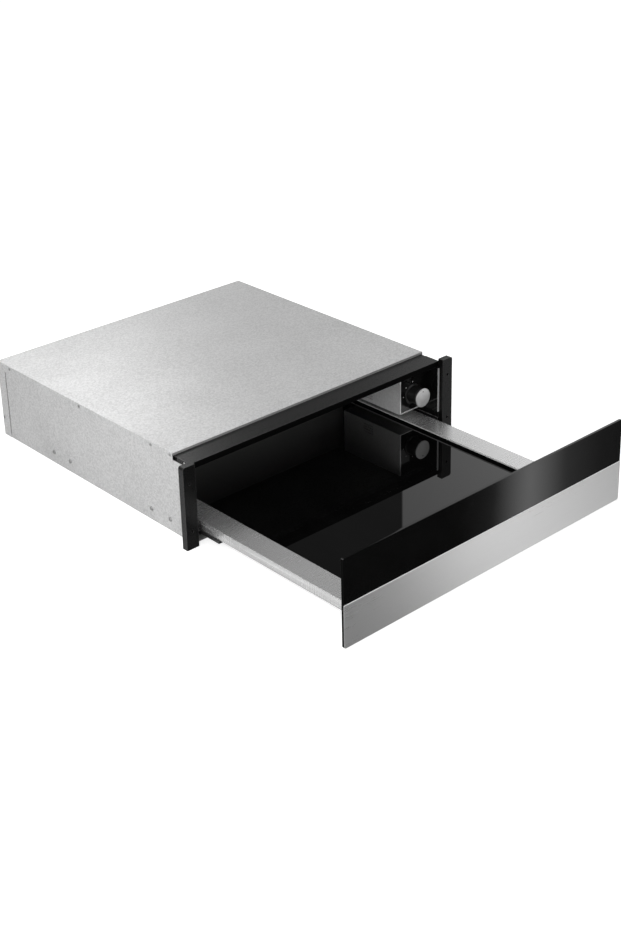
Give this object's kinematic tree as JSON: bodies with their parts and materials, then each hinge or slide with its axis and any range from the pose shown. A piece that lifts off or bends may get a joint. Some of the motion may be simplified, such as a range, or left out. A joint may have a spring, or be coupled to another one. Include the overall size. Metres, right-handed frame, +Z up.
{
  "type": "warming drawer",
  "caption": "Built-in warming drawer shown open: sheet steel housing with black frame, pull-out tray with black glass floor and front, temperature knob in a corner box.",
  "frame": {"origin": "centre of the underside of the housing; the back face of the front frame is at y = -0.266 m", "axes": "+X right seen from the front, +Y to the rear, +Z up; the open drawer points to -Y"},
  "size_m": [0.595, 0.9048, 0.14],
  "materials": {
    "zinc_sheet": "galvanised, matt with a fine spangle",
    "black_paint": "semi-matt black enamel",
    "black_gloss": "glossy black enamel",
    "bright_trim": "bright steel",
    "insulation": "matt mineral wool",
    "rail_steel": "dark zinc-plated steel",
    "light_plastic": "matt",
    "black_plastic": "satin",
    "grey_plastic": "satin",
    "brushed_steel": "stainless, brushed across",
    "pad_rubber": "matt silicone rubber",
    "lead_rubber": "matt",
    "black_glass": "polished, opaque black",
    "grey_sheet": "satin grey",
    "white_print": "printed marks",
    "cap_aluminium": "satin, turned",
    "lamp_lens": "tinted lens, unlit",
    "screw_steel": "zinc-plated"
  },
  "bodies": {
    "housing": {"top_cover": "zinc_sheet", "side_panel_left": "zinc_sheet", "side_panel_right": "zinc_sheet", "rear_panel": "zinc_sheet", "bottom_panel": "zinc_sheet", "front_post_left": "black_paint", "front_post_right": "black_paint", "top_rail": "black_paint", "front_sill": "black_paint", "side_liner_left": "black_gloss", "side_liner_right": "black_gloss", "edge_trims": "bright_trim", "ceiling_liner": "black_paint", "insulation_mat": "insulation", "cabinet_rail_left": "rail_steel", "cabinet_rail_right": "rail_steel", "rail_glides": "light_plastic", "latch_body": "black_plastic", "control_box": "grey_sheet", "control_fascia": "black_gloss", "fascia_trim": "bright_trim", "dial_marks": "white_print", "knob_bezel": "black_plastic", "thermostat": "grey_plastic", "signal_lamp": "lamp_lens", "blower_motor": "grey_sheet", "blower_scroll": "zinc_sheet", "heater_block": "cap_aluminium", "thermal_cutout": "black_plastic", "terminal_block": "light_plastic", "inner_lead": "lead_rubber", "lead_clips": "light_plastic", "inlet_gland": "black_plastic", "slide_screws": "screw_steel", "cover_screws": "screw_steel", "frame_rivets": "screw_steel"},
    "drawer": {"drawer_rail_left": "rail_steel", "drawer_rail_right": "rail_steel", "front_catches": "black_plastic", "drawer_side_left": "brushed_steel", "drawer_side_right": "brushed_steel", "base_pan": "zinc_sheet", "glass_pads": "pad_rubber", "glass_floor": "black_glass", "back_wall": "grey_sheet", "panel_carrier": "black_paint", "panel_glass": "black_glass", "panel_strip": "brushed_steel", "front_brackets": "zinc_sheet", "closing_buffers": "pad_rubber", "latch_striker": "zinc_sheet", "panel_screws": "screw_steel"},
    "middle_rail_left_body": {"middle_rail_left": "rail_steel"},
    "middle_rail_right_body": {"middle_rail_right": "rail_steel"},
    "knob_assembly": {"knob": "black_plastic", "knob_cap": "cap_aluminium", "control_shaft": "bright_trim"},
    "impeller": {"blower_wheel": "light_plastic"},
    "plunger": {"latch_plunger": "grey_plastic"}
  },
  "joints": [
    {"name": "drawer_slide", "type": "slide", "parent": "housing", "child": "drawer", "axis": [0, 1, 0], "range_m": [0, 0.343]},
    {"name": "middle_rail_left_slide", "type": "slide", "parent": "housing", "child": "middle_rail_left_body", "axis": [0, 1, 0], "range_m": [0, 0.1715]},
    {"name": "middle_rail_right_slide", "type": "slide", "parent": "housing", "child": "middle_rail_right_body", "axis": [0, 1, 0], "range_m": [0, 0.1715]},
    {"name": "knob_turn", "type": "hinge", "parent": "housing", "child": "knob_assembly", "pos_m": [0.2341, -0.25, 0.0762], "axis": [0, 1, 0], "range_deg": [0, 270]},
    {"name": "impeller_spin", "type": "hinge", "parent": "housing", "child": "impeller", "pos_m": [0.2327, -0.16, 0.0888], "axis": [1, 0, 0], "continuous": true},
    {"name": "latch_press", "type": "slide", "parent": "housing", "child": "plunger", "axis": [0, 1, 0], "range_m": [0, 0.004], "stiffness_N_per_m": 400, "springref_m": -0.002}
  ],
  "couplings": [
    {"joint": "middle_rail_left_slide", "follows": "drawer_slide", "ratio": 0.5},
    {"joint": "middle_rail_right_slide", "follows": "drawer_slide", "ratio": 0.5}
  ]
}
